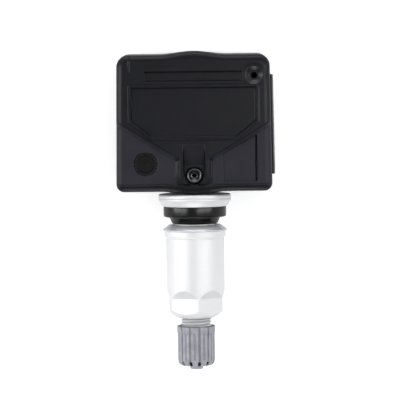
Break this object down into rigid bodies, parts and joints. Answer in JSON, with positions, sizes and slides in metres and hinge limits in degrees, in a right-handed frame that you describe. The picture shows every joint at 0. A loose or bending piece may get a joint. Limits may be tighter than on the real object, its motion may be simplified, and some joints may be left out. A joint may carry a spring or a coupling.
{
  "type": "tyre pressure sensor",
  "caption": "Clamp-in wheel sensor: flat square housing with a metal valve stem, rubber grommet, sleeve nut and screw cap, for reading tyre pressure inside a wheel.",
  "frame": {"origin": "on the valve stem's axis, in the plane of the collar's clamping face against the wheel rim", "axes": "-Y runs out along the valve stem to the cap, +Y into the housing, +Z out of the housing's front face, and the back cover faces -Z"},
  "size_m": [0.0401, 0.0797, 0.0191],
  "materials": {
    "housing_plastic": "moulded satin",
    "cover_plastic": "moulded satin",
    "board_laminate": "solder mask",
    "chip_plastic": "moulded",
    "seal_rubber": "matt",
    "plated_metal": "tin plated",
    "ceramic_body": "fired",
    "ferrite": "sintered",
    "copper_wire": "enamelled",
    "cell_steel": "nickel plated",
    "stem_aluminium": "turned and anodised",
    "nut_aluminium": "satin anodised",
    "screw_steel": "plated",
    "grommet_rubber": "smooth",
    "core_brass": "turned",
    "cap_plastic": "moulded"
  },
  "bodies": {
    "sensor": {"housing": "housing_plastic", "back_cover": "cover_plastic", "circuit_board": "board_laminate", "sensor_chip": "chip_plastic", "port_gasket": "seal_rubber", "control_chip": "chip_plastic", "crystal": "plated_metal", "capacitors": "ceramic_body", "coil_core": "ferrite", "coil_winding": "copper_wire", "antenna_loop": "plated_metal", "battery_cell": "cell_steel", "battery_tab_positive": "plated_metal", "battery_tab_negative": "plated_metal", "valve_stem": "stem_aluminium", "stem_screw": "screw_steel", "grommet": "grommet_rubber", "core_body": "core_brass", "core_barrel_seal": "seal_rubber", "core_spring": "screw_steel"},
    "nut_slide": {"washer": "stem_aluminium"},
    "nut": {"sleeve_nut": "nut_aluminium"},
    "cap_slide": {"cap_seal": "seal_rubber"},
    "cap": {"valve_cap": "cap_plastic"},
    "core_plunger": {"core_pin": "core_brass", "core_cup_seal": "seal_rubber"}
  },
  "joints": [
    {"name": "nut_travel", "type": "slide", "parent": "sensor", "child": "nut_slide", "axis": [0, -1, 0], "range_m": [0, 0.0015]},
    {"name": "nut_turn", "type": "hinge", "parent": "nut_slide", "child": "nut", "pos_m": [0, -0.016, 0], "axis": [0, -1, 0], "range_deg": [0, 540]},
    {"name": "cap_travel", "type": "slide", "parent": "sensor", "child": "cap_slide", "axis": [0, -1, 0], "range_m": [0, 0.00715]},
    {"name": "cap_turn", "type": "hinge", "parent": "cap_slide", "child": "cap", "pos_m": [0, -0.035, 0], "axis": [0, -1, 0], "range_deg": [0, 3240]},
    {"name": "core_press", "type": "slide", "parent": "sensor", "child": "core_plunger", "axis": [0, 1, 0], "range_m": [0, 0.0012], "stiffness_N_per_m": 1200, "deforming": ["core_spring"]}
  ],
  "couplings": [
    {"joint": "nut_turn", "follows": "nut_travel", "rad_per_m": 6283.2},
    {"joint": "cap_turn", "follows": "cap_travel", "rad_per_m": 7913.3}
  ]
}
